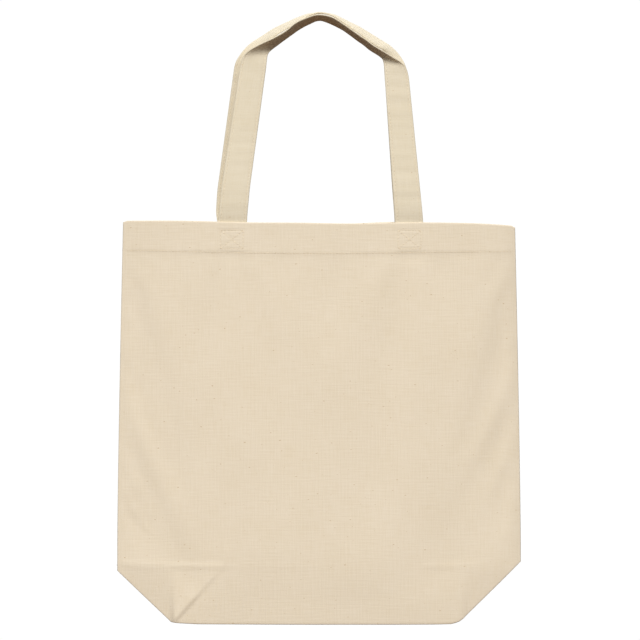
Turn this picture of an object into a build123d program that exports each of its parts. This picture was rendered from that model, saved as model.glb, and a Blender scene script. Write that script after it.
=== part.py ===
from build123d import *
import os
from math import atan2, cos, degrees, hypot, radians, sin

# Canvas tote bag, hanging upright from its two handles, with its boxed base folded up inside.
# Millimetres. +Z is up, the front faces -Y, and the origin is under the middle of the base.

os.makedirs("parts", exist_ok=True)

# Driving dimensions of the bag
body_height = 369.0
mouth_half_width = 181.0
belly_half_width = 185.0
corner_cut_width = 52.0
corner_cut_rise = 55.0
half_depth = 14.0
edge_depth = 1.05
border_width = 35.0
canvas_thickness = 1.0
ply_gap = 0.05

# Base, folded inwards along its middle line, and its boxed corners
base_ridge_height = 54.0
ear_length = 54.0
ear_lowest = 10.0

# Hem and seams
hem_depth = 27.0
hem_side_inset = 6.0
seam_allowance_width = 15.0
seam_allowance_half = 1.0
seam_end_gap = 3.0
seam_tip_inset = 1.2

# Straps: sewn flat to the inside of the hem
strap_width = 25.0
strap_thickness = 1.8
strap_left_x = -80.0
strap_right_x = 83.0
strap_end_rise = 5.7
strap_end_lean = 1.95
handle_joint_gap = 0.3

# Where a handle bends, as x, distance from the middle plane, and height on the front handle
left_kink = (-59.0, 3.2, 520.5)
left_shoulder = (-38.0, 4.0, 535.5)
handle_apex = (0.0, 2.0, 558.5)
right_shoulder = (44.0, 4.0, 531.5)
right_kink = (70.0, 3.2, 513.5)
shoulder_slope = 36.0
shoulder_turn = 72.0
apex_turn = 84.0

# The rear handle passes over the front one, so it bends higher up
rear_kink_lift = 8.0
rear_shoulder_lift = 10.0
rear_apex_lift = 6.5

# Sewing thread, sunk flush into the cloth
thread_width = 0.6
thread_depth = 0.5
thread_clearance = 0.05
box_stitch_width = 21.0
box_stitch_height = 17.0
box_stitch_above_hem = 3.0

# Values that follow from the driving dimensions
base_half_width = belly_half_width - corner_cut_width
base_leg_reach = half_depth - canvas_thickness - ply_gap
hem_line = body_height - hem_depth
border_slope = (half_depth - edge_depth) / border_width
strap_inner_depth = half_depth - 2 * canvas_thickness - ply_gap
strap_end_top = body_height + strap_end_rise
handle_foot = strap_end_top + handle_joint_gap
handle_foot_depth = strap_inner_depth - strap_thickness / 2 + strap_end_lean
FRONT = -1
REAR = 1
LEFT = -1
RIGHT = 1
SIDES = {"front": FRONT, "rear": REAR}
ENDS = {"left": LEFT, "right": RIGHT}
STRAP_X = {"left": strap_left_x, "right": strap_right_x}


def half_width_at(z):
    """Half of the bag's width at a height: it narrows evenly from the belly up to the mouth."""
    share = max(0.0, (z - corner_cut_rise) / (body_height - corner_cut_rise))
    return belly_half_width + (mouth_half_width - belly_half_width) * share


def wall_depth(inset):
    """Distance of a wall's outer face from the middle plane, at an inset from the side edge."""
    return min(half_depth, edge_depth + border_slope * inset)


def ply_face(side, z, inset, ply_offset, thickness):
    """Cross-section at one height of a ply that follows a wall, ply_offset inside its outer face."""
    edge_x = half_width_at(z) - inset
    shoulder_x = half_width_at(z) - border_width
    edge_y = side * (wall_depth(inset) - ply_offset)
    middle_y = side * (half_depth - ply_offset)
    step = side * thickness
    with BuildSketch(Plane.XY.offset(z)) as section:
        with BuildLine():
            Polyline(
                (-edge_x, edge_y),
                (-shoulder_x, middle_y),
                (shoulder_x, middle_y),
                (edge_x, edge_y),
                (edge_x, edge_y - step),
                (shoulder_x, middle_y - step),
                (-shoulder_x, middle_y - step),
                (-edge_x, edge_y - step),
                close=True,
            )
        make_face()
    return section.sketch


def ply_sections(side, heights, inset, ply_offset, thickness):
    """Cross-sections of a ply of cloth or a run of thread that follows a wall between heights."""
    return [ply_face(side, z, inset, ply_offset, thickness) for z in heights]


def box_stitch_sketch(side, x, width):
    """The square with a cross that fastens a strap end, drawn on a wall from the hem line up."""
    middle_z = hem_line + box_stitch_above_hem + box_stitch_height / 2
    cross_tilt = degrees(atan2(box_stitch_height, box_stitch_width))
    cross_length = hypot(box_stitch_width, box_stitch_height)
    wall_plane = Plane(origin=(x, side * half_depth, middle_z), x_dir=(1, 0, 0), z_dir=(0, -1, 0))
    with BuildSketch(wall_plane) as stitch_lines:
        Rectangle(box_stitch_width + width, box_stitch_height + width)
        Rectangle(box_stitch_width - width, box_stitch_height - width, mode=Mode.SUBTRACT)
        for tilt in (cross_tilt, -cross_tilt):
            Rectangle(cross_length, width, rotation=tilt)
    return stitch_lines.sketch


def roof_face(start_x, rise):
    """Cross-section of cloth folded over the base's ridge, rise outside the base's own faces."""
    ridge_per_reach = base_ridge_height / base_leg_reach
    reach = base_leg_reach + rise
    ridge = base_ridge_height + rise * ridge_per_reach
    inner_reach = reach - canvas_thickness
    inner_ridge = ridge - canvas_thickness * ridge_per_reach
    with BuildSketch(Plane.YZ.offset(start_x)) as section:
        with BuildLine():
            Polyline(
                (-reach, 0),
                (0, ridge),
                (reach, 0),
                (inner_reach, 0),
                (0, inner_ridge),
                (-inner_reach, 0),
                close=True,
            )
        make_face()
    return section.sketch


# The bag's outline seen from the front, with its two slanting lower corners
with BuildSketch(Plane.XZ) as outline:
    with BuildLine():
        Polyline(
            (-base_half_width, 0),
            (base_half_width, 0),
            (belly_half_width, corner_cut_rise),
            (belly_half_width, body_height),
            (-belly_half_width, body_height),
            (-belly_half_width, corner_cut_rise),
            close=True,
        )
    make_face()

# Front and rear panels: shallow trays that meet at the side edges, with the thread's grooves
for side_name, side in SIDES.items():
    with BuildPart() as panel:
        panel_heights = (0, corner_cut_rise, body_height)
        loft(ply_sections(side, panel_heights, 0, 0, canvas_thickness), ruled=True)
        extrude(outline.sketch, amount=2 * half_depth, both=True, mode=Mode.INTERSECT)
        groove_half = thread_width / 2 + thread_clearance
        groove_depth = thread_depth + thread_clearance
        groove = (hem_line - groove_half, hem_line + groove_half)
        loft(ply_sections(side, groove, 0, 0, groove_depth), ruled=True, mode=Mode.SUBTRACT)
        for strap_x in STRAP_X.values():
            box_groove = box_stitch_sketch(side, strap_x, thread_width + 2 * thread_clearance)
            extrude(box_groove, amount=side * groove_depth, mode=Mode.SUBTRACT)
    panel.part.label = side_name + "_panel"
    export_step(panel.part, "parts/" + side_name + "_panel.step")

# Base panel: its two halves fold up to a ridge between the walls
with BuildPart() as base_panel:
    extrude(roof_face(-base_half_width, 0), amount=2 * base_half_width)
base_panel.part.label = "base_panel"
export_step(base_panel.part, "parts/base_panel.step")

# Gusset folds: the side cloth tucked in behind each slanting corner, in line with the base
for end_name, end in ENDS.items():
    with BuildPart() as gusset_fold:
        extrude(roof_face(end * (base_half_width + ply_gap), 0), amount=end * corner_cut_width)
        extrude(outline.sketch, amount=2 * half_depth, both=True, mode=Mode.INTERSECT)
    gusset_fold.part.label = end_name + "_gusset_fold"
    export_step(gusset_fold.part, "parts/" + end_name + "_gusset_fold.step")

# Corner ears: the sewn-off triangle of each boxed corner, folded over the base inside the bag
for end_name, end in ENDS.items():
    with BuildPart() as corner_ear:
        ear_section = roof_face(end * base_half_width, canvas_thickness + ply_gap)
        extrude(ear_section, amount=-end * ear_length)
        with BuildSketch(Plane.XZ):
            with BuildLine():
                Polyline(
                    (end * base_half_width, ear_lowest),
                    (end * (base_half_width - ear_lowest), ear_lowest),
                    (end * (base_half_width - ear_length), ear_length),
                    (end * (base_half_width - ear_length), ear_length + ear_lowest),
                    (end * base_half_width, ear_length + ear_lowest),
                    close=True,
                )
            make_face()
        extrude(amount=2 * half_depth, both=True, mode=Mode.INTERSECT)
    corner_ear.part.label = end_name + "_corner_ear"
    export_step(corner_ear.part, "parts/" + end_name + "_corner_ear.step")

# Hem facings: the turned-in top edge of each panel
for side_name, side in SIDES.items():
    with BuildPart() as hem_facing:
        facing_heights = (hem_line, body_height - ply_gap)
        ply_offset = canvas_thickness + ply_gap
        facing_thickness = canvas_thickness - ply_gap
        loft(ply_sections(side, facing_heights, hem_side_inset, ply_offset, facing_thickness), ruled=True)
    hem_facing.part.label = side_name + "_hem_facing"
    export_step(hem_facing.part, "parts/" + side_name + "_hem_facing.step")

# Hem stitching: one run of thread round each panel, sunk in its groove
for side_name, side in SIDES.items():
    with BuildPart() as hem_stitching:
        run = (hem_line - thread_width / 2, hem_line + thread_width / 2)
        loft(ply_sections(side, run, ply_gap, 0, thread_depth), ruled=True)
    hem_stitching.part.label = side_name + "_hem_stitching"
    export_step(hem_stitching.part, "parts/" + side_name + "_hem_stitching.step")

# Side seams: the raw edges of both panels sewn together inside, with their overlocking thread
seam_heights = (base_ridge_height + seam_end_gap, body_height - seam_end_gap)
for end_name, end in ENDS.items():
    with BuildPart() as side_seam:
        for z in seam_heights:
            edge_x = half_width_at(z)
            tip_x = end * (edge_x - seam_tip_inset)
            full_x = end * (edge_x - seam_allowance_width / 2)
            back_x = end * (edge_x - seam_allowance_width)
            with BuildSketch(Plane.XY.offset(z)):
                with BuildLine():
                    Polyline(
                        (tip_x, -ply_gap),
                        (full_x, -seam_allowance_half),
                        (back_x, -seam_allowance_half),
                        (back_x, seam_allowance_half),
                        (full_x, seam_allowance_half),
                        (tip_x, ply_gap),
                        close=True,
                    )
                make_face()
        loft(ruled=True)
    side_seam.part.label = end_name + "_side_seam"
    export_step(side_seam.part, "parts/" + end_name + "_side_seam.step")

    with BuildPart() as seam_overlock:
        for z in seam_heights:
            thread_x = end * (half_width_at(z) - seam_allowance_width - ply_gap - thread_width / 2)
            with BuildSketch(Plane.XY.offset(z)):
                with Locations((thread_x, 0)):
                    Rectangle(thread_width, 2 * seam_allowance_half)
        loft(ruled=True)
    seam_overlock.part.label = end_name + "_seam_overlock"
    export_step(seam_overlock.part, "parts/" + end_name + "_seam_overlock.step")

# Strap ends: the part of each handle sewn to the inside of the hem, and the box of stitches
for side_name, side in SIDES.items():
    for end_name, strap_x in STRAP_X.items():
        node_name = side_name + "_" + end_name + "_strap_end"
        outer_y = side * strap_inner_depth
        inner_y = side * (strap_inner_depth - strap_thickness)
        lean = side * strap_end_lean
        with BuildPart() as strap_end:
            with BuildSketch(Plane.YZ.offset(strap_x - strap_width / 2)):
                with BuildLine():
                    Polyline(
                        (outer_y, hem_line),
                        (outer_y, body_height + ply_gap),
                        (outer_y + lean, strap_end_top),
                        (inner_y + lean, strap_end_top),
                        (inner_y, body_height + ply_gap),
                        (inner_y, hem_line),
                        close=True,
                    )
                make_face()
            extrude(amount=strap_width)
        strap_end.part.label = node_name
        export_step(strap_end.part, "parts/" + node_name + ".step")

        node_name = side_name + "_" + end_name + "_box_stitching"
        with BuildPart() as box_stitching:
            extrude(box_stitch_sketch(side, strap_x, thread_width), amount=side * thread_depth)
        box_stitching.part.label = node_name
        export_step(box_stitching.part, "parts/" + node_name + ".step")


def strap_plane(side, x, depth, z, slope, turn):
    """Plane square to the strap, with the strap's width along its X axis.

    The slope is the strap's direction above level, seen from the front. The turn is how far its
    outer edge has swung from the plane of the wall towards the side that the wall is on.
    """
    slope = radians(slope)
    turn = radians(turn)
    along = (cos(slope), 0, sin(slope))
    across = (-sin(slope) * cos(turn), side * sin(turn), cos(slope) * cos(turn))
    return Plane(origin=(x, side * depth, z), x_dir=across, z_dir=along)


def handle_planes(side):
    """Planes of the strap's section along one handle, from its left foot to its right foot."""
    stations = (
        ((strap_left_x, handle_foot_depth, handle_foot), 0, 90, 0),
        (left_kink, rear_kink_lift, 90, 0),
        (left_shoulder, rear_shoulder_lift, shoulder_slope, shoulder_turn),
        (handle_apex, rear_apex_lift, 0, apex_turn),
        (right_shoulder, rear_shoulder_lift, -shoulder_slope, shoulder_turn),
        (right_kink, rear_kink_lift, -90, 0),
        ((strap_right_x, handle_foot_depth, handle_foot), 0, -90, 0),
    )
    planes = []
    for (x, depth, z), rear_lift, slope, turn in stations:
        lift = rear_lift if side == REAR else 0
        planes.append(strap_plane(side, x, depth, z + lift, slope, turn))
    return planes


# Handles: each strap leaves the hem flat to the front, and turns edge-on over the top
for side_name, side in SIDES.items():
    with BuildPart() as handle:
        for section_plane in handle_planes(side):
            with BuildSketch(section_plane):
                Rectangle(strap_width, strap_thickness)
        loft(ruled=True)
    handle.part.label = side_name + "_handle"
    export_step(handle.part, "parts/" + side_name + "_handle.step")
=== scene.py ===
import math

import bmesh
import bpy
import numpy as np
from mathutils import Matrix, Vector, noise
from mathutils.bvhtree import BVHTree


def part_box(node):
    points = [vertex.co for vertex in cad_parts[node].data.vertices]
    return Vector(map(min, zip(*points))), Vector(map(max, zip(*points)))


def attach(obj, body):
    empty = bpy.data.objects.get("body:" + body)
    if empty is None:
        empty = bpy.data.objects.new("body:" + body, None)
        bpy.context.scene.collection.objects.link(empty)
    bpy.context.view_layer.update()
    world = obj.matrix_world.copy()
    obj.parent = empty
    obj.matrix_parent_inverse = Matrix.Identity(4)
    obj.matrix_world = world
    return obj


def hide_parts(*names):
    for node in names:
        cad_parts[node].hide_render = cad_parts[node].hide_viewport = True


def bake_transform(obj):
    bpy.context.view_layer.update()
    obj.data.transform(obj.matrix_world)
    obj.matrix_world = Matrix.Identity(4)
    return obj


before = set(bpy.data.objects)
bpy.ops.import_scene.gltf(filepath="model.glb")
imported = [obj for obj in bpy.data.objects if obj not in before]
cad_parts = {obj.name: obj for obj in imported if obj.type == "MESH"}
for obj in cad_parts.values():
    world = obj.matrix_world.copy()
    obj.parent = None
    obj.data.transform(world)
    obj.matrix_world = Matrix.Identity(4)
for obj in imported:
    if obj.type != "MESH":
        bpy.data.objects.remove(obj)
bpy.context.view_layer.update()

MM = 0.001
FRONT = -1
REAR = 1
LEFT = -1
RIGHT = 1
SIDES = {"front": FRONT, "rear": REAR}
ENDS = {"left": LEFT, "right": RIGHT}

# ---------------------------------------------------------------- sizes read from the frame
panel_low, panel_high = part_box("front_panel")
_, base_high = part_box("base_panel")
seam_low, seam_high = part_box("left_side_seam")
ear_low, ear_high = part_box("left_corner_ear")

MOUTH_TOP = panel_high[2]
BELLY_HALF = panel_high[0]
MOUTH_HALF = BELLY_HALF - 4.5 * MM
WALL_DEPTH = -panel_low[1]
BASE_HALF = base_high[0]
RIDGE_TOP = base_high[2]
STRAP_X = {}
for end_name in ENDS:
    end_low, end_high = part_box("front_" + end_name + "_strap_end")
    STRAP_X[end_name] = (end_low[0] + end_high[0]) / 2

# ---------------------------------------------------------------- cloth, in metres
PLY = 0.9 * MM
FOLD_RADIUS = 0.95 * MM
EDGE_HALF = 0.9 * MM
SEAM_PINCH = 0.9 * MM
MERGE = 0.02 * MM


# ---------------------------------------------------------------- small tools
def linear_colour(code):
    """An sRGB hex colour as the linear values that a shader takes."""
    channels = [int(code[i:i + 2], 16) / 255 for i in (0, 2, 4)]
    linear = [c / 12.92 if c <= 0.04045 else ((c + 0.055) / 1.055) ** 2.4 for c in channels]
    return (*linear, 1.0)


def add_node(tree, kind, settings=None, values=None, links=None):
    """A shader node with its properties, its input values and what its inputs are linked from."""
    node = tree.nodes.new(kind)
    for name, value in (settings or {}).items():
        setattr(node, name, value)
    for name, value in (values or {}).items():
        node.inputs[name].default_value = value
    for name, socket in (links or {}).items():
        tree.links.new(socket, node.inputs[name])
    return node


def show(name, bm, material, smooth=True):
    """A finished bmesh as an object in the scene."""
    mesh = bpy.data.meshes.new(name)
    bm.to_mesh(mesh)
    bm.free()
    for polygon in mesh.polygons:
        polygon.use_smooth = smooth
    mesh.materials.append(material)
    piece = bpy.data.objects.new(name, mesh)
    bpy.context.scene.collection.objects.link(piece)
    return piece


def cloth_grid(points, flat):
    """A grid of cloth: its points in rows and columns, with the flat cut's place as its UV map."""
    rows, cols = points.shape[:2]
    bm = bmesh.new()
    bmesh.ops.create_grid(bm, x_segments=cols - 1, y_segments=rows - 1, size=1.0)
    bm.verts.ensure_lookup_table()
    places = {}
    for vert in bm.verts:
        col = round((vert.co.x + 1) / 2 * (cols - 1))
        row = round((vert.co.y + 1) / 2 * (rows - 1))
        places[vert.index] = (row, col)
        vert.co = points[row, col]
    uv_layer = bm.loops.layers.uv.new("cloth")
    for face in bm.faces:
        for loop in face.loops:
            loop[uv_layer].uv = flat[places[loop.vert.index]]
    return bm, places


def solidify(piece, thickness, offset=-1.0):
    """Gives a sheet its ply thickness, inwards from the surface that was modelled."""
    modifier = piece.modifiers.new("ply", "SOLIDIFY")
    modifier.thickness = thickness
    modifier.offset = offset
    modifier.use_even_offset = False


def smooth_step(value):
    """Eases from 0 to 1 as the value goes from 0 to 1."""
    value = np.clip(value, 0.0, 1.0)
    return value * value * (3 - 2 * value)


def bump_at(distance, width):
    """A soft ridge: 1 on the line, falling away over the width on both sides."""
    return np.exp(-(distance / width) ** 2)


def through(stations, values, at):
    """A smooth line through the stations, as the edge of stiff cloth bends."""
    stations = np.asarray(stations, float)
    values = np.asarray(values, float)
    slopes = np.gradient(values, stations, axis=0)
    place = np.clip(np.searchsorted(stations, at, side="right") - 1, 0, len(stations) - 2)
    span = stations[place + 1] - stations[place]
    t = np.clip((at - stations[place]) / span, 0.0, 1.0)
    if values.ndim > 1:
        place = place[:, 0]
    start = (1 + 2 * t) * (1 - t) ** 2 * values[place] + t * (1 - t) ** 2 * span * slopes[place]
    end = t * t * (3 - 2 * t) * values[place + 1] - t * t * (1 - t) * span * slopes[place + 1]
    return start + end


# ---------------------------------------------------------------- camera, light and floor
camera_data = bpy.data.cameras.new("camera")
camera = bpy.data.objects.new("camera", camera_data)
bpy.context.scene.collection.objects.link(camera)
VIEW_ACROSS = 0.0009
VIEW_DISTANCE = 2.5
VIEW_HEIGHT = 0.2797
VIEW_WIDTH = 0.5864
SENSOR_WIDTH = 36.0
camera.location = (VIEW_ACROSS, -VIEW_DISTANCE, VIEW_HEIGHT)
camera.rotation_euler = (math.radians(90), 0, 0)
camera_data.sensor_width = SENSOR_WIDTH
camera_data.lens = SENSOR_WIDTH * (VIEW_DISTANCE - WALL_DEPTH) / VIEW_WIDTH
camera_data.clip_end = 50
bpy.context.scene.camera = camera
bpy.context.scene.view_settings.view_transform = "Standard"


def sun(name, turn, height, strength, softness):
    """A large soft light far away, at a turn from the front and a height above the horizon."""
    lamp = bpy.data.lights.new(name, "SUN")
    lamp.energy = strength
    lamp.angle = math.radians(softness)
    light = bpy.data.objects.new(name, lamp)
    light.rotation_euler = (math.radians(90 - height), 0, math.radians(turn))
    bpy.context.scene.collection.objects.link(light)


sun("key_softbox", turn=-5, height=38, strength=2.75, softness=34)
sun("front_fill", turn=4, height=0, strength=0.42, softness=60)
sun("back_softbox", turn=172, height=44, strength=2.1, softness=50)

world = bpy.data.worlds.new("studio")
world.use_nodes = True
bpy.context.scene.world = world
tree = world.node_tree
tree.nodes.clear()
coords = add_node(tree, "ShaderNodeTexCoord")
split = add_node(tree, "ShaderNodeSeparateXYZ", links={0: coords.outputs["Generated"]})
sky = add_node(tree, "ShaderNodeMapRange", values={"From Min": -0.15, "From Max": 0.5, "To Min": 0.02,
                                                   "To Max": 0.42}, links={"Value": split.outputs["Z"]})
ambient = add_node(tree, "ShaderNodeBackground", links={"Color": sky.outputs["Result"]})
backdrop = add_node(tree, "ShaderNodeBackground", values={"Color": (1, 1, 1, 1), "Strength": 1.02})
path = add_node(tree, "ShaderNodeLightPath")
both = add_node(tree, "ShaderNodeMixShader", links={0: path.outputs["Is Camera Ray"],
                                                   1: ambient.outputs[0], 2: backdrop.outputs[0]})
add_node(tree, "ShaderNodeOutputWorld", links={"Surface": both.outputs[0]})

# The floor lies under the hanging bag. To bounced light it is duller than it looks, so that the
# underside of the handles stays in shade.
FLOOR_DROP = 0.6
floor_bm = bmesh.new()
bmesh.ops.create_grid(floor_bm, x_segments=1, y_segments=1, size=3.0)
bmesh.ops.translate(floor_bm, verts=floor_bm.verts, vec=(0, 0, -FLOOR_DROP))
paper = bpy.data.materials.new("pale_paper_floor")
paper.use_nodes = True
tree = paper.node_tree
tree.nodes.clear()
path = add_node(tree, "ShaderNodeLightPath")
tone = add_node(tree, "ShaderNodeMix", {"data_type": "RGBA"},
                {6: (0.11, 0.065, 0.036, 1), 7: (0.86, 0.86, 0.85, 1)},
                {0: path.outputs["Is Camera Ray"]})
matt = add_node(tree, "ShaderNodeBsdfDiffuse", links={"Color": tone.outputs[2]})
add_node(tree, "ShaderNodeOutputMaterial", links={"Surface": matt.outputs[0]})
show("floor", floor_bm, paper, smooth=False)


# ---------------------------------------------------------------- materials
def woven_cotton(name, shade, dark_shade, pitch, fleck, bump_depth, sheen):
    """
    Unbleached plain-weave cotton: matt, warm cream, with slubs where the yarn was spun thick,
    a faint mottle, and brown flecks of seed husk.
    """
    material = bpy.data.materials.new(name)
    material.use_nodes = True
    tree = material.node_tree
    tree.nodes.clear()
    uv = add_node(tree, "ShaderNodeUVMap", {"uv_map": "cloth"})
    threads = add_node(tree, "ShaderNodeMapping", {"vector_type": "POINT"},
                       {"Scale": (1 / pitch, 1 / pitch, 1)}, {"Vector": uv.outputs[0]})
    split = add_node(tree, "ShaderNodeSeparateXYZ", links={0: threads.outputs[0]})
    waves = []
    for axis in ("X", "Y"):
        turn = add_node(tree, "ShaderNodeMath", {"operation": "MULTIPLY"}, {1: math.pi},
                        {0: split.outputs[axis]})
        waves.append(add_node(tree, "ShaderNodeMath", {"operation": "COSINE"}, links={0: turn.outputs[0]}))
    warp, weft = [add_node(tree, "ShaderNodeMath", {"operation": "ABSOLUTE"}, links={0: w.outputs[0]})
                  for w in waves]
    crossing = add_node(tree, "ShaderNodeMath", {"operation": "MULTIPLY"},
                        links={0: waves[0].outputs[0], 1: waves[1].outputs[0]})
    over = add_node(tree, "ShaderNodeMath", {"operation": "MULTIPLY_ADD"}, {1: 0.5, 2: 0.5},
                    {0: crossing.outputs[0]})
    yarn = add_node(tree, "ShaderNodeMix", {"data_type": "FLOAT"},
                    links={0: over.outputs[0], 2: weft.outputs[0], 3: warp.outputs[0]})

    # Slubs: thick places some 10 to 30 mm long in single yarns, along and across.
    slubs = []
    for scale in ((55, 900, 1), (900, 55, 1)):
        run = add_node(tree, "ShaderNodeMapping", values={"Scale": scale}, links={"Vector": uv.outputs[0]})
        slubs.append(add_node(tree, "ShaderNodeTexNoise", {"noise_dimensions": "2D"},
                              {"Scale": 1.0, "Detail": 1.5, "Roughness": 0.5},
                              {"Vector": run.outputs[0]}))
    slub = add_node(tree, "ShaderNodeMath", {"operation": "ADD"},
                    links={0: slubs[0].outputs[0], 1: slubs[1].outputs[0]})
    mottle = add_node(tree, "ShaderNodeTexNoise", {"noise_dimensions": "2D"},
                      {"Scale": 22.0, "Detail": 3.0, "Roughness": 0.55}, {"Vector": uv.outputs[0]})

    # Colour: a mix between the two shades by yarn, slub and mottle.
    yarn_part = add_node(tree, "ShaderNodeMath", {"operation": "MULTIPLY_ADD"}, {1: 0.34, 2: 0.0},
                         {0: yarn.outputs[0]})
    slub_part = add_node(tree, "ShaderNodeMath", {"operation": "MULTIPLY_ADD"}, {1: 0.55},
                         {0: slub.outputs[0], 2: yarn_part.outputs[0]})
    mottle_part = add_node(tree, "ShaderNodeMath", {"operation": "MULTIPLY_ADD"}, {1: 0.35},
                           {0: mottle.outputs[0], 2: slub_part.outputs[0]})
    share = add_node(tree, "ShaderNodeMapRange", values={"From Min": 0.45, "From Max": 1.2},
                     links={"Value": mottle_part.outputs[0]})
    cream = add_node(tree, "ShaderNodeMix", {"data_type": "RGBA"},
                     {6: linear_colour(dark_shade), 7: linear_colour(shade)}, {0: share.outputs[0]})
    husk_run = add_node(tree, "ShaderNodeMapping", values={"Scale": (260, 620, 1), "Rotation": (0, 0, 0.5)},
                        links={"Vector": uv.outputs[0]})
    husk = add_node(tree, "ShaderNodeTexNoise", {"noise_dimensions": "2D"},
                    {"Scale": 1.0, "Detail": 1.0, "Roughness": 0.4}, {"Vector": husk_run.outputs[0]})
    husk_place = add_node(tree, "ShaderNodeMapRange", values={"From Min": 0.815, "From Max": 0.86},
                          links={"Value": husk.outputs[0]})
    flecks = add_node(tree, "ShaderNodeMix", {"data_type": "RGBA"}, {7: linear_colour(fleck)},
                      {0: husk_place.outputs[0], 6: cream.outputs[2]})

    # Relief of the yarns, the slubs and a fine fuzz.
    fuzz = add_node(tree, "ShaderNodeTexNoise", {"noise_dimensions": "2D"},
                    {"Scale": 1400.0, "Detail": 2.0}, {"Vector": uv.outputs[0]})
    slub_relief = add_node(tree, "ShaderNodeMath", {"operation": "MULTIPLY_ADD"}, {1: 0.7},
                           {0: slub.outputs[0], 2: yarn.outputs[0]})
    relief = add_node(tree, "ShaderNodeMath", {"operation": "MULTIPLY_ADD"}, {1: 0.35},
                      {0: fuzz.outputs[0], 2: slub_relief.outputs[0]})
    bump = add_node(tree, "ShaderNodeBump", values={"Strength": 0.8, "Distance": bump_depth},
                    links={"Height": relief.outputs[0]})
    cloth = add_node(tree, "ShaderNodeBsdfPrincipled",
                     values={"Roughness": 0.92, "IOR": 1.5, "Specular IOR Level": 0.25,
                             "Sheen Weight": sheen, "Sheen Roughness": 0.5},
                     links={"Base Color": flecks.outputs[2], "Normal": bump.outputs[0]})
    add_node(tree, "ShaderNodeOutputMaterial", links={"Surface": cloth.outputs[0]})
    return material


# Yarns about 0.6 mm apart are too fine to show, so they are drawn 1.25 mm apart on the walls and
# 1.0 mm apart on the straps.
CANVAS_PITCH = 1.25 * MM
STRAP_PITCH = 1.0 * MM
canvas = woven_cotton("unbleached_cotton_canvas", "E7DAC4", "DFD0B5", CANVAS_PITCH, "C4AB84",
                      0.11 * MM, 0.12)
strap_canvas = woven_cotton("folded_canvas_strap", "E1D6BF", "D9CCB0", STRAP_PITCH, "C4AB84",
                            0.10 * MM, 0.12)


def spun_thread(name, shade, dark_shade):
    """Spun cotton sewing thread: a little paler and smoother than the cloth, with its twist."""
    material = bpy.data.materials.new(name)
    material.use_nodes = True
    tree = material.node_tree
    tree.nodes.clear()
    coords = add_node(tree, "ShaderNodeTexCoord")
    twist = add_node(tree, "ShaderNodeMapping", values={"Scale": (1800, 1800, 2600)},
                     links={"Vector": coords.outputs["Object"]})
    fibres = add_node(tree, "ShaderNodeTexNoise", values={"Scale": 1.0, "Detail": 1.0},
                      links={"Vector": twist.outputs[0]})
    colour = add_node(tree, "ShaderNodeMix", {"data_type": "RGBA"},
                      {6: linear_colour(dark_shade), 7: linear_colour(shade)}, {0: fibres.outputs[0]})
    bump = add_node(tree, "ShaderNodeBump", values={"Strength": 0.5, "Distance": 0.05 * MM},
                    links={"Height": fibres.outputs[0]})
    surface = add_node(tree, "ShaderNodeBsdfPrincipled",
                       values={"Roughness": 0.8, "IOR": 1.5, "Sheen Weight": 0.1},
                       links={"Base Color": colour.outputs[2], "Normal": bump.outputs[0]})
    add_node(tree, "ShaderNodeOutputMaterial", links={"Surface": surface.outputs[0]})
    return material


thread = spun_thread("cotton_sewing_thread", "EADCC2", "DCCBAC")


# ---------------------------------------------------------------- the shape of the bag
BELLY_HEIGHT = 73 * MM
CORNER_LEFT = -0.7330
CORNER_RIGHT = 0.7130
TRIANGLE_TIP = -0.43
FULL_HALF = BELLY_HALF + 0.8 * MM


def half_width(z):
    """Half the width of the bag: full at the belly, a little drawn in at the mouth."""
    rise = np.clip((z - BELLY_HEIGHT) / (MOUTH_TOP - BELLY_HEIGHT), 0.0, 1.0)
    return FULL_HALF - (FULL_HALF - MOUTH_HALF) * rise ** 1.3


def wall_depth(z):
    """How far a wall stands out from the middle: least where the base is folded flat."""
    return through(np.array([-5, 0, 30, 110, 200, 300, 342, 372]) * MM,
                   np.array([10.2, 10.5, 12.0, 14.3, 14.9, 14.4, 14.0, 14.0]) * MM, z)


def swell(u):
    """The walls lie apart in the middle and close together at the side seams."""
    return (1 - np.minimum(np.abs(u), 1.0) ** 4) ** 0.9


def mouth_line(x, side):
    """The height of the mouth's folded edge, which isn't quite straight."""
    line = through(np.array([-181, -128, -66, -18, 28, 70, 110, 166, 181]) * MM,
                   np.array([2.2, 1.9, 0.3, 0.0, -0.8, 0.0, 0.2, -1.5, -2.6]) * MM, x)
    if side == REAR:
        line = line + 1.6 * MM * bump_at(x - 65 * MM, 45 * MM)
    line = line - 1.5 * MM * smooth_step((np.abs(x) - MOUTH_HALF + 2.5 * MM) / (2.5 * MM))
    return MOUTH_TOP + line


def hem_line(x):
    """The height of the row of stitches that holds the hem."""
    return through(np.array([-181, -35, 181]) * MM, np.array([343.9, 340.8, 342.7]) * MM, x)


def bottom_line(x):
    """The lower outline: the folded base, and the slanted corners folded in behind."""
    return np.interp(x, np.array([-185.8, -136.2, -129, -112, 0, 108, 121.8, 128, 132.5, 185.8]) * MM,
                     np.array([48.8, 2.0, 1.2, 0.4, 0.0, 0.1, 0.4, 2.1, 5.2, 57.3]) * MM)


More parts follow.
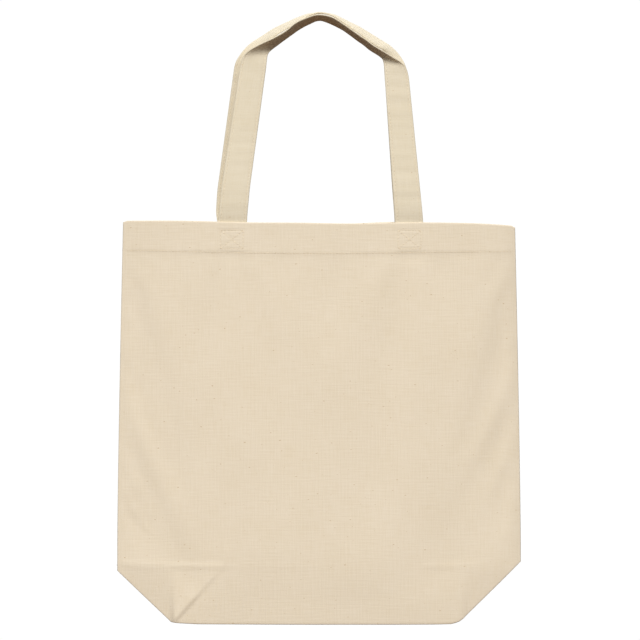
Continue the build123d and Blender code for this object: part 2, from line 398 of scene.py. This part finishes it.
def corner_creases(x, z):
    """The folded base and its corner triangle show through the front as creases."""
    x = x / MM
    z = z / MM
    # The ridge of the folded base: long at the left, short at the right.
    left_part = 1 - smooth_step((x + 92) / 14) * 0.8
    left_part = left_part * (1 - smooth_step((x + 20) / 40))
    right_part = 0.6 * smooth_step((x - 92) / 10) * (1 - smooth_step((x - 140) / 14))
    ridge_height = 54.5
    rise = 0.42 * bump_at(z - ridge_height, 2.6) * (left_part + right_part)
    # The slanted corner leans back below the ridge.
    lean = -0.075 * np.clip(54 - z, 0, 60) * (1 - smooth_step((x + 137) / 4))
    lean = lean + -0.05 * np.clip(50 - z, 0, 60) * smooth_step((x - 131) / 6)
    # The end of the boxed seam: a small step down to the right.
    seam = 0.55 * (1 - smooth_step((x + 136) / 2.2)) * np.exp(-np.clip(-x - 136, 0, 99) / 9)
    seam = seam * (1 - smooth_step((z - 46) / 10))
    # The edge of the corner triangle, slanting up from the foot of that seam to its tip.
    foot_x, foot_z = (-133, 2)
    tip_x, tip_z = (-86, 55)
    length = math.hypot(tip_x - foot_x, tip_z - foot_z)
    along_x = (tip_x - foot_x) / length
    along_z = (tip_z - foot_z) / length
    along = (x - foot_x) * along_x + (z - foot_z) * along_z
    across = (x - foot_x) * along_z - (z - foot_z) * along_x
    strength = smooth_step((along + 3) / 6) * (1 - smooth_step((along - 50) / 24))
    slant = 1.2 * (1 - smooth_step((across + 1.0) / 2.2)) * np.exp(-np.clip(-across - 1.0, 0, 99) / 12)
    slant = slant * strength * smooth_step((x + 136) / 4) * (1 - smooth_step((z - 54) / 6))
    slant = slant * (1.15 - 0.65 * smooth_step((along - 26) / 18))
    # A short pinch above the triangle's tip.
    pinch = 0.4 * bump_at(x + 85, 2.0) * smooth_step((z - 54) / 4) * (1 - smooth_step((z - 68) / 9))
    return (rise + lean + seam + slant + pinch) * MM


def soft_folds(x, z, side):
    """Broad shallow waves that handled cloth keeps."""
    waves = ((150, 25, 0.30, 0.4), (210, 118, 0.28, 2.1), (95, 62, 0.16, 4.0), (70, 155, 0.10, 1.2))
    rise = np.zeros_like(x)
    for length, turn, height, start in waves:
        turn = math.radians(turn + 17 * side)
        phase = (x * math.cos(turn) + z * math.sin(turn)) / (length * MM)
        rise = rise + height * MM * np.sin(2 * math.pi * phase + start + 1.3 * side)
    return rise


# The box of stitches at each strap end.
BOX_HALF_WIDTH = 10.5 * MM
BOX_HALF_HEIGHT = 8.5 * MM
BOX_MIDDLE = 353.5 * MM


def box_distance(x, z, middle):
    """Distance from the nearest line of a box of stitches with a cross in it."""
    across = (x - middle) / BOX_HALF_WIDTH
    up = (z - BOX_MIDDLE) / BOX_HALF_HEIGHT
    edge = np.minimum(np.abs(np.abs(across) - 1) * BOX_HALF_WIDTH, np.abs(np.abs(up) - 1) * BOX_HALF_HEIGHT)
    slant = math.hypot(1 / BOX_HALF_WIDTH, 1 / BOX_HALF_HEIGHT)
    cross = np.minimum(np.abs(across - up), np.abs(across + up)) / slant
    inside = (np.abs(across) < 1.12) & (np.abs(up) < 1.15)
    return np.where(inside, np.minimum(edge, cross), 1.0)


# How the hem, the sewn strap ends and their stitches show on the outside of a wall.
HEM_STEP = 0.30 * MM
HEM_GROOVE = 0.9 * MM
PUCKER_HEIGHT = 0.20 * MM
PUCKER_REACH = 5.5 * MM
STRAP_RISE = 0.35 * MM
STRAP_RISE_HALF = 13.6 * MM
BOX_DENT = 0.35 * MM
BOX_DENT_WIDTH = 0.75 * MM
END_DIP_HALF = 12.5 * MM
LEFT_END_DIP = 0.2
RIGHT_END_DIP = 0.45


def wall_relief(side, x, z):
    """How far the surface of a wall stands out from its plain shape."""
    hem = hem_line(x)
    above = z - hem
    rise = soft_folds(x, z, side)
    rise = rise + HEM_STEP * smooth_step((above + 2.2 * MM) / (2.0 * MM))
    pull = 0.24 + 0.12 * np.sin(x / (17 * MM) + 2 * side) * np.sin(x / (41 * MM) + 1)
    rise = rise - pull * MM * bump_at(above, HEM_GROOVE)
    puckers = np.sin(x / (1.75 * MM) + 1.5 * np.sin(x / (13 * MM))) * np.sin(x / (31 * MM) + side)
    rise = rise + PUCKER_HEIGHT * puckers * np.exp(-np.abs(above) / PUCKER_REACH)
    for middle in STRAP_X.values():
        over_strap = smooth_step((STRAP_RISE_HALF - np.abs(x - middle)) / (1.6 * MM)) * (above > 0)
        rise = rise + STRAP_RISE * over_strap * smooth_step((above - 1 * MM) / (2 * MM))
        rise = rise - BOX_DENT * bump_at(box_distance(x, z, middle), BOX_DENT_WIDTH)
        # Under the box the strap's end stops, and the cloth falls back behind it.
        behind = smooth_step((END_DIP_HALF - np.abs(x - middle)) / (1.5 * MM))
        behind = behind * bump_at(above + 4 * MM, 3 * MM)
        rise = rise - (RIGHT_END_DIP if middle > 0 else LEFT_END_DIP) * MM * behind
    if side == FRONT:
        rise = rise + corner_creases(x, z)
    return rise


# ---------------------------------------------------------------- columns and rows of the cloth
def spread(start, end, count):
    """Even places from the start up to, but not including, the end."""
    return np.linspace(start, end, count, endpoint=False)


NEAR_EDGE = 0.996
COLUMNS = np.concatenate([[-1.0], spread(-NEAR_EDGE, CORNER_LEFT, 15),
                          spread(CORNER_LEFT, TRIANGLE_TIP, 30), spread(TRIANGLE_TIP, CORNER_RIGHT, 56),
                          spread(CORNER_RIGHT, NEAR_EDGE, 17), [NEAR_EDGE, 1.0]])
ROW_PARTS = np.concatenate([spread(0, 0.22, 39), spread(0.22, 1, 57), [1.0]])
HEM_ROWS = 27
FACING_ROWS = 13
LEG_ROWS = 18
FOLD_STEPS = 5
SIM_STEP = 3
SIM_FRAMES = 26
SAG_SHARE = 0.45
SAG_LIMIT = np.array([1.2, 1.6, 1.2]) * MM
STRAP_HOLD = 16 * MM
HEM_HOLD = 0.85
HELD_FOOT = 15 * MM
HELD_FADE = 60 * MM


def cloth_sag(side):
    """
    Lets the wall hang as cloth from its hem and side seams, and returns a limited share of how
    far each place of a coarse grid moved: rows from the bottom up, columns from left to right.
    """
    cols = COLUMNS[::SIM_STEP]
    parts = ROW_PARTS[::SIM_STEP]
    x = cols[None, :] * FULL_HALF * np.ones((len(parts), 1))
    z = bottom_line(x) + (hem_line(x) - bottom_line(x)) * parts[:, None]
    x = cols[None, :] * half_width(z)
    y = side * (EDGE_HALF + (wall_depth(z) - EDGE_HALF) * swell(cols[None, :]))
    rest = np.stack([x, y + side * soft_folds(x, z, side), z], axis=-1)
    bm, places = cloth_grid(rest, rest[..., ::2])
    sheet = show("hanging_cloth", bm, canvas)
    pins = sheet.vertex_groups.new(name="sewn")
    order = {}
    for index, (row, col) in places.items():
        order[(row, col)] = index
        sewn = col in (0, len(cols) - 1) or row == 0
        hold = 1.0 if sewn else 0.0
        if row == len(parts) - 1:
            near_strap = min(abs(rest[row, col, 0] - middle) for middle in STRAP_X.values())
            hold = 1.0 if near_strap < STRAP_HOLD else HEM_HOLD
        pins.add([index], hold, "REPLACE")
    modifier = sheet.modifiers.new("hang", "CLOTH")
    settings = modifier.settings
    settings.quality = 6
    settings.mass = 0.3
    settings.tension_stiffness = 30
    settings.compression_stiffness = 30
    settings.shear_stiffness = 12
    settings.bending_stiffness = 2.0
    settings.shrink_min = -0.004
    settings.vertex_group_mass = "sewn"
    settings.pin_stiffness = 1.0
    modifier.collision_settings.use_collision = False
    modifier.point_cache.frame_start = 1
    modifier.point_cache.frame_end = SIM_FRAMES
    for step in range(1, SIM_FRAMES + 1):
        bpy.context.scene.frame_set(step)
    shaped = sheet.evaluated_get(bpy.context.evaluated_depsgraph_get()).data
    moved = np.zeros_like(rest)
    for (row, col), index in order.items():
        moved[row, col] = np.array(shaped.vertices[index].co) - rest[row, col]
    bpy.context.scene.frame_set(1)
    bpy.data.objects.remove(sheet)
    moved = np.clip(SAG_SHARE * moved, -SAG_LIMIT, SAG_LIMIT)
    # Near its edges the cloth is held by the seams and the folded base behind it.
    held = smooth_step((z - bottom_line(x) - HELD_FOOT) / HELD_FADE)
    held = held * smooth_step((1 - np.abs(cols)) / 0.08)[None, :]
    return moved * held[..., None]


def finer(moved):
    """The coarse grid's movement, as a smooth movement at every row and column of the cloth."""
    by_column = np.stack([through(ROW_PARTS[::SIM_STEP], column, ROW_PARTS[:, None])
                          for column in moved.transpose(1, 0, 2)])
    return np.stack([through(COLUMNS[::SIM_STEP], row, COLUMNS[:, None])
                     for row in by_column.transpose(1, 0, 2)])


def wall_surface(side, z, u, moved=None):
    """Points on the outer surface of a wall, with its relief, at heights and columns."""
    pinch = np.minimum(1.0, (1 - np.abs(u)) / 0.05)
    x = u * half_width(z)
    y = EDGE_HALF + (wall_depth(z) - EDGE_HALF) * swell(u)
    y = y + wall_relief(side, x, z) * (0.15 + 0.85 * pinch)
    points = np.stack([x, side * y, z], axis=-1)
    if moved is not None:
        points = points + moved
    return points


FACING_BEHIND = 1.9 * MM
FACING_BELOW = 1.4 * MM
RIDGE_HALF = 0.55 * MM


def half_of_bag(side):
    """
    The rows of one wall with its hem and its half of the folded base, from the hem's lower edge
    inside, over the mouth, down the wall, and in and up to the ridge of the base.
    """
    u = COLUMNS[None, :]
    reference = COLUMNS * FULL_HALF
    low = bottom_line(reference)
    hem = hem_line(reference)
    top = mouth_line(COLUMNS * MOUTH_HALF, side)

    # The fold along the bottom is flatter where the walls come together.
    depth_low = EDGE_HALF + (wall_depth(low) - EDGE_HALF) * swell(COLUMNS)
    turn = np.minimum(1.0 * MM, (depth_low - 0.3 * MM) / 2.2)

    parts = ROW_PARTS[:, None]
    lower = wall_surface(side, (low + turn) + (hem - low - turn) * parts, u * np.ones_like(parts),
                         SAG[side])
    hem_parts = np.linspace(0, 1, HEM_ROWS + 1)[1:, None]
    hem_rows = wall_surface(side, hem + (top - FOLD_RADIUS - hem) * hem_parts, u * np.ones_like(hem_parts),
                            SAG[side][-1] * (1 - hem_parts[..., None]) ** 2)
    wall = np.concatenate([lower, hem_rows])

    # Over the mouth, and down inside as the hem's facing.
    fold = []
    for angle in np.linspace(0, math.pi, FOLD_STEPS + 2)[1:-1]:
        step = wall[-1].copy()
        reach = np.minimum(FOLD_RADIUS, np.abs(wall[-1][:, 1]) / 2)
        step[:, 1] -= side * reach * (1 - math.cos(angle))
        step[:, 2] += FOLD_RADIUS * math.sin(angle)
        fold.append(step)
    facing = []
    for part in np.linspace(0, 1, FACING_ROWS):
        height = (top - FOLD_RADIUS) * (1 - part) + (hem - FACING_BELOW) * part
        plain = EDGE_HALF + (wall_depth(height) - EDGE_HALF) * swell(COLUMNS)
        plain = plain + soft_folds(COLUMNS * half_width(height), height, side)
        inset = COLUMNS * (half_width(height) - 2.0 * MM * np.abs(COLUMNS) ** 12)
        depth = np.maximum(plain - FACING_BEHIND, 0.25 * MM)
        facing.append(np.stack([inset, side * depth, height], axis=-1))

    # In under the bottom edge, and up to the ridge.
    under = []
    foot = wall[0]
    for angle in np.linspace(0, math.pi, FOLD_STEPS + 2)[1:-1]:
        step = foot.copy()
        step[:, 1] -= side * turn * (1 - math.cos(angle))
        step[:, 2] -= turn * math.sin(angle)
        under.append(step)
    inner = foot.copy()
    inner[:, 1] -= side * 2 * turn
    ridge = np.stack([foot[:, 0], np.full(len(foot), side * RIDGE_HALF),
                      np.maximum(RIDGE_TOP - 0.2 * MM, foot[:, 2] + 0.6 * MM)], axis=-1)
    leg = []
    for part in np.linspace(0, 1, LEG_ROWS + 1):
        step = inner * (1 - part) + ridge * part
        step[:, 1] += side * 0.6 * MM * math.sin(math.pi * part) * np.clip(turn / MM, 0, 1)
        step[:, 0] *= 1 - 0.009 * min(1.0, 4 * part + 0.3) * np.abs(COLUMNS) ** 24
        leg.append(step)
    closing = ridge.copy()
    closing[:, 1] = 0.0
    closing[:, 2] += 0.3 * MM
    rows = facing[::-1] + fold[::-1] + list(wall[::-1]) + under + leg + [closing]
    rows = np.array(rows)
    # The side seam: one more column at each end, where both walls meet.
    ends = []
    for column in (0, -1):
        seam = rows[:, column].copy()
        seam[:, 0] -= math.copysign(SEAM_PINCH, seam[0, 0])
        seam[len(facing) + len(fold) + len(wall) - 1:, 1] *= 0.5
        wall_part = slice(len(facing) + len(fold), len(facing) + len(fold) + len(wall))
        seam[wall_part, 1] = 0.0
        ends.append(seam)
    return np.concatenate([ends[0][:, None], rows, ends[1][:, None]], axis=1)


def flat_places(rows, direction):
    """Each point's place in the flat cut, measured along the cloth from the mouth."""
    middle = rows.shape[1] // 2
    steps = np.linalg.norm(np.diff(rows, axis=0), axis=-1)
    along = np.concatenate([np.zeros((1, rows.shape[1])), np.cumsum(steps, axis=0)])
    mouth = int(np.argmax(rows[:, middle, 2]))
    along = (along - along[mouth]) * direction
    return np.stack([rows[..., 0], along], axis=-1)


SAG = {side: np.zeros((len(ROW_PARTS), len(COLUMNS), 3)) for side in SIDES.values()}
SAG = {side: finer(cloth_sag(side)) for side in SIDES.values()}

rear_rows = half_of_bag(REAR)
front_rows = half_of_bag(FRONT)
bag_rows = np.concatenate([rear_rows, front_rows[::-1]])
bag_flat = np.concatenate([flat_places(rear_rows, 1.0), flat_places(front_rows, -1.0)[::-1]])
bag_bm, _ = cloth_grid(bag_rows, bag_flat)
bmesh.ops.remove_doubles(bag_bm, verts=bag_bm.verts, dist=MERGE)
wall_tree = BVHTree.FromBMesh(bag_bm)
bag_body = show("bag_body", bag_bm, canvas)
solidify(bag_body, PLY)
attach(bag_body, "bag")
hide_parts("front_panel", "rear_panel", "base_panel", "left_gusset_fold",
            "right_gusset_fold", "front_hem_facing", "rear_hem_facing")


# ---------------------------------------------------------------- straps
# Each row gives a place on both edges of a strap in millimetres, from its left sewn end to its
# right one. The edge on the handle's outside comes first, which is the higher one at its top.
FRONT_STRAP = (
    (-92.7, -10.8, 343.5, -66.2, -10.8, 343.5),
    (-92.7, -10.8, 366.0, -66.2, -10.8, 366.0),
    (-92.4, -11.6, 372.0, -66.0, -11.6, 372.0),
    (-91.8, -12.6, 378.0, -65.5, -12.6, 378.0),
    (-89.6, -12.3, 400.0, -63.5, -12.1, 400.0),
    (-72.2, -3.9, 515.5, -48.2, -3.9, 515.0),
    (-69.6, -4.5, 524.5, -47.5, -2.5, 524.8),
    (-58.0, -10.5, 531.2, -43.6, 3.0, 529.2),
    (-42.3, -15.2, 537.6, -38.3, 8.7, 534.1),
    (-30.4, -15.2, 544.1, -27.4, 9.2, 542.2),
    (-21.2, -15.0, 552.6, -16.3, 9.6, 550.0),
    (-2.0, -14.4, 560.2, 0.0, 10.4, 557.9),
    (12.0, -14.6, 557.9, 9.1, 10.0, 554.6),
    (24.8, -15.0, 549.1, 22.4, 9.4, 548.1),
    (54.3, -14.5, 528.4, 51.4, 8.0, 526.3),
    (68.0, -10.0, 521.0, 56.4, 3.0, 523.2),
    (79.5, -4.5, 514.8, 59.5, -2.5, 518.6),
    (82.5, -4.0, 505.0, 60.2, -4.0, 505.0),
    (92.7, -12.1, 400.0, 67.7, -12.1, 400.0),
    (94.9, -12.6, 378.0, 69.3, -12.6, 378.0),
    (95.4, -11.6, 372.0, 69.7, -11.6, 372.0),
    (95.6, -10.8, 366.0, 69.9, -10.8, 366.0),
    (95.6, -10.8, 343.5, 69.9, -10.8, 343.5),
)
REAR_STRAP = (
    (-93.5, 10.8, 343.5, -67.5, 10.8, 343.5),
    (-93.5, 10.8, 366.0, -67.5, 10.8, 366.0),
    (-94.3, 11.6, 372.0, -68.7, 11.6, 372.0),
    (-95.6, 12.6, 378.0, -69.8, 12.6, 378.0),
    (-94.2, 12.2, 400.0, -68.6, 12.0, 400.0),
    (-77.6, 4.2, 518.0, -53.0, 4.2, 518.0),
    (-68.5, 5.0, 531.0, -48.5, 1.5, 531.5),
    (-62.0, 9.0, 536.7, -46.5, -4.0, 534.6),
    (-53.0, 14.0, 542.2, -44.0, -7.0, 538.2),
    (-41.0, 15.0, 550.5, -36.5, -8.5, 543.2),
    (-12.2, 15.0, 563.0, -10.0, -9.3, 559.3),
    (0.9, 14.5, 564.4, 0.0, -9.5, 562.4),
    (13.0, 15.0, 563.1, 12.0, -9.0, 560.0),
    (38.1, 15.0, 551.0, 38.0, -8.5, 542.0),
    (52.1, 14.5, 542.1, 51.0, -7.0, 532.4),
    (66.0, 12.0, 533.9, 58.5, -4.0, 529.0),
    (75.2, 7.5, 524.1, 63.0, 2.5, 525.2),
    (80.3, 4.5, 515.0, 61.3, 5.0, 518.5),
    (82.0, 4.0, 505.0, 60.6, 5.0, 505.0),
    (92.2, 12.1, 400.0, 67.8, 12.1, 400.0),
    (94.6, 12.6, 378.0, 69.6, 12.6, 378.0),
    (95.0, 11.6, 372.0, 69.8, 11.6, 372.0),
    (95.4, 10.8, 366.0, 70.2, 10.8, 366.0),
    (95.4, 10.8, 343.5, 70.2, 10.8, 343.5),
)
STRAP_THICKNESS = 1.8 * MM
STRAP_STEP = 2.5 * MM
CREASE_LENGTH = 8 * MM
CREASE_HEIGHT = 0.42 * MM
SIDE_GAP = 40 * MM
EDGE_STITCH = 0.80
RING = (-1.0, -0.985, -0.95, -0.88, EDGE_STITCH * -1.06, -EDGE_STITCH, EDGE_STITCH * -0.94, -0.6,
        -0.3, 0.0, 0.3, 0.6, EDGE_STITCH * 0.94, EDGE_STITCH, EDGE_STITCH * 1.06, 0.88, 0.95, 0.985, 1.0)


def strap_lines(stations):
    """Evenly spaced points along both edges of a strap, softened a little at its bends."""
    stations = np.array(stations) * MM
    middle = (stations[:, :3] + stations[:, 3:]) / 2
    along = np.concatenate([[0], np.cumsum(np.linalg.norm(np.diff(middle, axis=0), axis=1))])
    count = int(along[-1] / STRAP_STEP) + 1
    places = np.linspace(0, along[-1], count)
    lines = np.stack([np.interp(places, along, stations[:, i]) for i in range(6)], axis=1)
    for _ in range(4):
        lines[1:-1] = (lines[:-2] + 2 * lines[1:-1] + lines[2:]) / 4
    outer = lines[:, :3]
    inner = lines[:, 3:]
    centre = (outer + inner) / 2
    run = np.gradient(centre, axis=0)
    run /= np.linalg.norm(run, axis=1)[:, None]
    across = inner - outer
    face = np.cross(run, across)
    face /= np.linalg.norm(face, axis=1)[:, None]
    return places, centre, across / 2, face, run


def strap_profile(part):
    """Half the strap's thickness across its width: round edges and sunk rows of stitches."""
    edge = np.sqrt(np.maximum(0.0, 1 - np.abs(part) ** 18))
    sunk = 0.30 * bump_at(np.abs(part) - EDGE_STITCH, 0.035)
    crown = 0.10 * (1 - part ** 2)
    return STRAP_THICKNESS / 2 * (edge * (0.94 + crown) - sunk)


def make_strap(name, stations, handle, ends, seed):
    """A folded and stitched canvas strap: the handle and its two sewn ends in one piece."""
    places, centre, half_across, face, run = strap_lines(stations)
    parts = np.array(RING + RING[::-1])
    sides = np.array([1.0] * len(RING) + [-1.0] * len(RING))
    creases = np.array([noise.noise(Vector((place / CREASE_LENGTH, seed, 0))) for place in places])
    creases = creases * CREASE_HEIGHT
    points = []
    for row in range(len(places)):
        bow = creases[row] * (1 - 0.4 * parts ** 2)
        lift = sides * strap_profile(parts) + bow
        points.append(centre[row] + parts[:, None] * half_across[row] + lift[:, None] * face[row])
    points = np.array(points)
    half = np.linalg.norm(half_across, axis=1).mean()
    flat = np.empty((*points.shape[:2], 2))
    flat[..., 0] = (parts * half + (1 - sides) * SIDE_GAP)[None, :]
    flat[..., 1] = places[:, None]
    bm, _ = cloth_grid(points, flat)
    bmesh.ops.remove_doubles(bm, verts=bm.verts, dist=MERGE)
    open_ends = [edge for edge in bm.edges if edge.is_boundary]
    bmesh.ops.holes_fill(bm, edges=open_ends, sides=0)
    bmesh.ops.recalc_face_normals(bm, faces=bm.faces)
    tree = BVHTree.FromBMesh(bm)
    strap = show(name, bm, strap_canvas)
    across_hinge(strap)
    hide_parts(handle, *ends)
    return tree, places, centre, half_across, face, run


def across_hinge(piece):
    """Bakes the piece's placement into its own mesh."""
    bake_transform(piece)


def sew(name, stitches, length, width, height):
    """Rows of stitches: each is one short thread lying on the cloth, sunk at its ends."""
    bm = bmesh.new()
    bmesh.ops.create_uvsphere(bm, u_segments=6, v_segments=5, radius=0.5)
    plain = bpy.data.meshes.new("stitch")
    bm.to_mesh(plain)
    bm.clear()
    for place, run, up in stitches:
        turn = np.eye(4)
        turn[:3, 0] = run * length
        turn[:3, 1] = np.cross(up, run) * width
        turn[:3, 2] = up * height
        turn[:3, 3] = place
        stitch = plain.copy()
        stitch.transform(Matrix(turn.tolist()))
        bm.from_mesh(stitch)
        bpy.data.meshes.remove(stitch)
    bpy.data.meshes.remove(plain)
    return show(name, bm, thread)


strap_facts = {}
strap_facts["front"] = make_strap("front_strap", FRONT_STRAP, "front_handle",
                                  ("front_left_strap_end", "front_right_strap_end"), 3.0)
strap_facts["rear"] = make_strap("rear_strap", REAR_STRAP, "rear_handle",
                                 ("rear_left_strap_end", "rear_right_strap_end"), 8.0)

# Two rows of stitches along each strap, on both faces.
STITCH_PITCH = 3.2 * MM
for side_name in SIDES:
    tree, places, centre, half_across, face, run = strap_facts[side_name]
    stitches = []
    for place in np.arange(places[0] + 2 * MM, places[-1] - 2 * MM, STITCH_PITCH):
        middle = np.array([np.interp(place, places, centre[:, i]) for i in range(3)])
        reach = np.array([np.interp(place, places, half_across[:, i]) for i in range(3)])
        out = np.array([np.interp(place, places, face[:, i]) for i in range(3)])
        out /= np.linalg.norm(out)
        way = np.array([np.interp(place, places, run[:, i]) for i in range(3)])
        way /= np.linalg.norm(way)
        for part in (-EDGE_STITCH, EDGE_STITCH):
            for surface in (1, -1):
                seat = middle + part * reach + surface * out * 3 * MM
                hit, _, _, _ = tree.ray_cast(Vector(seat), Vector(-surface * out), 5 * MM)
                if hit is not None:
                    stitches.append((np.array(hit) + surface * out * 0.06 * MM, way, surface * out))
    stitching = sew(side_name + "_strap_stitching", stitches, 2.6 * MM, 0.55 * MM, 0.36 * MM)
    across_hinge(stitching)


# ---------------------------------------------------------------- stitches on the walls
def on_wall(side, x, z):
    """The place on a wall's outer surface at this x and z, and which way it faces there."""
    hit, normal, _, _ = wall_tree.ray_cast(Vector((x, side * 60 * MM, z)), Vector((0, -side, 0)), 0.06)
    return np.array(hit), np.array(normal)


def seam_stitches(side, points, pitch):
    """Stitches at even steps along a line of (x, z) points on a wall."""
    points = np.array(points)
    along = np.concatenate([[0], np.cumsum(np.linalg.norm(np.diff(points, axis=0), axis=1))])
    count = max(1, round(along[-1] / pitch))
    middles = (np.arange(count) + 0.5) * along[-1] / count
    stitches = []
    for middle in middles:
        seats = []
        for place in (middle - pitch * 0.3, middle, middle + pitch * 0.3):
            x = np.interp(place, along, points[:, 0])
            z = np.interp(place, along, points[:, 1])
            seats.append(on_wall(side, x, z))
        run = seats[2][0] - seats[0][0]
        run /= np.linalg.norm(run)
        up = seats[1][1] - run * np.dot(seats[1][1], run)
        up /= np.linalg.norm(up)
        stitches.append((seats[1][0] + up * 0.08 * MM, run, up))
    return stitches


HEM_PITCH = 3.0 * MM
BOX_PITCH = 2.8 * MM
THREAD_WIDTH = 0.60 * MM
THREAD_HEIGHT = 0.42 * MM
for side_name, side in SIDES.items():
    across = np.linspace(-1, 1, 90) * (MOUTH_HALF - 3 * MM)
    hem_row = np.stack([across, hem_line(across)], axis=1)
    stitching = sew(side_name + "_hem_thread", seam_stitches(side, hem_row, HEM_PITCH),
                    2.5 * MM, THREAD_WIDTH, THREAD_HEIGHT)
    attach(stitching, "bag")
    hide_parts(side_name + "_hem_stitching")
    for end_name in ENDS:
        middle = STRAP_X[end_name]
        left = middle - BOX_HALF_WIDTH
        right = middle + BOX_HALF_WIDTH
        low = BOX_MIDDLE - BOX_HALF_HEIGHT
        high = BOX_MIDDLE + BOX_HALF_HEIGHT
        lines = (((left, low), (right, low)), ((right, low), (right, high)), ((right, high), (left, high)),
                 ((left, high), (left, low)), ((left, low), (right, high)), ((left, high), (right, low)))
        stitches = [s for line in lines for s in seam_stitches(side, line, BOX_PITCH)]
        name = side_name + "_" + end_name
        stitching = sew(name + "_box_thread", stitches, 2.3 * MM, THREAD_WIDTH, THREAD_HEIGHT)
        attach(stitching, "bag")
        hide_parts(name + "_box_stitching")


# ---------------------------------------------------------------- inside the bag
# The side seams: the raw edges of both walls, sewn together and left inside.
ALLOWANCE = 14 * MM
SEAM_INSET = 1.9 * MM
OVERLOCK_PITCH = 2.4 * MM
OVERLOCK_EDGE = 1.6 * MM
OVERLOCK_LIFT = 0.62 * MM
EAR_RISE = 2.3 * MM
EAR_PLIES = 1.4 * MM


def seam_sway(heights, end):
    """How far the free edge of a seam allowance waves to the front or the rear."""
    return 0.35 * MM * np.sin(heights / (9 * MM) + end) + 0.5 * MM * np.sin(heights / (37 * MM))


for end_name, end in ENDS.items():
    low = seam_low[2] + 1 * MM
    high = seam_high[2] - 1 * MM
    heights = np.linspace(low, high, 80)
    across = np.linspace(0, 1, 7)
    ring = np.concatenate([across, across[::-1]])
    half = np.concatenate([np.full(7, 0.55), np.full(7, -0.55)]) * MM
    points = np.empty((len(heights), len(ring), 3))
    sway = seam_sway(heights, end)
    x = half_width(heights)[:, None] - SEAM_INSET - ALLOWANCE * ring[None, :]
    points[..., 0] = end * x
    points[..., 1] = half[None, :] + sway[:, None] * ring[None, :] ** 2
    points[..., 2] = heights[:, None]
    flat = np.stack([np.broadcast_to(end * (x + half[None, :] * 60), x.shape),
                     points[..., 2]], axis=-1)
    bm, _ = cloth_grid(points, flat)
    bmesh.ops.remove_doubles(bm, verts=bm.verts, dist=MERGE)
    rims = [edge for edge in bm.edges if edge.is_boundary]
    bmesh.ops.contextual_create(bm, geom=[e for e in rims if e.verts[0].co.z < low + 1 * MM])
    bmesh.ops.contextual_create(bm, geom=[e for e in rims if e.verts[0].co.z > high - 1 * MM])
    bmesh.ops.recalc_face_normals(bm, faces=bm.faces)
    allowance = show(end_name + "_side_seam_edges", bm, canvas)
    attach(allowance, "bag")
    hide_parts(end_name + "_side_seam")

    # Overlocking: thread that zigzags over the raw edge on both faces.
    stitches = []
    for i, height in enumerate(np.arange(low + 3 * MM, high - 3 * MM, OVERLOCK_PITCH)):
        slope = 1 if i % 2 else -1
        way = np.array([1.0, 0.0, 0.45 * slope])
        way /= np.linalg.norm(way)
        edge_x = end * (float(half_width(height)) - SEAM_INSET - ALLOWANCE + OVERLOCK_EDGE)
        bend = float(seam_sway(height, end))
        for face in (1, -1):
            place = np.array([edge_x, bend + face * OVERLOCK_LIFT, height])
            stitches.append((place, way, np.array([0.0, float(face), 0.0])))
    overlock = sew(end_name + "_overlock_thread", stitches, 4.0 * MM, 0.6 * MM, 0.45 * MM)
    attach(overlock, "bag")
    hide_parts(end_name + "_seam_overlock")

    # The corner's sewn-off triangle lies over the ridge of the folded base, its tip inwards.
    rows = np.linspace(-1, 1, 25)
    cols = np.linspace(0, 1, 21)
    ear_length = ear_high[0] - ear_low[0]
    points = np.empty((len(rows), len(cols), 3))
    for i, part in enumerate(rows):
        for j, col in enumerate(cols):
            drop = (RIDGE_TOP - ear_low[2]) * (1 - col) * abs(part)
            leg_depth = (WALL_DEPTH - 3.2 * MM) * drop / RIDGE_TOP * 0.8
            rise = EAR_RISE + 0.3 * MM * math.sin(9 * col + 3 * part)
            points[i, j] = (end * (BASE_HALF - 0.5 * MM - ear_length * col),
                            math.copysign(leg_depth, part), RIDGE_TOP - drop + rise * (1 - 0.6 * abs(part)))
    if end == RIGHT:
        points = points[:, ::-1]
    flat = points[..., ::2].copy()
    bm, _ = cloth_grid(points, flat)
    bmesh.ops.remove_doubles(bm, verts=bm.verts, dist=MERGE)
    bmesh.ops.recalc_face_normals(bm, faces=bm.faces)
    ear = show(end_name + "_corner_triangle", bm, canvas)
    solidify(ear, EAR_PLIES, offset=0.0)
    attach(ear, "bag")
    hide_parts(end_name + "_corner_ear")
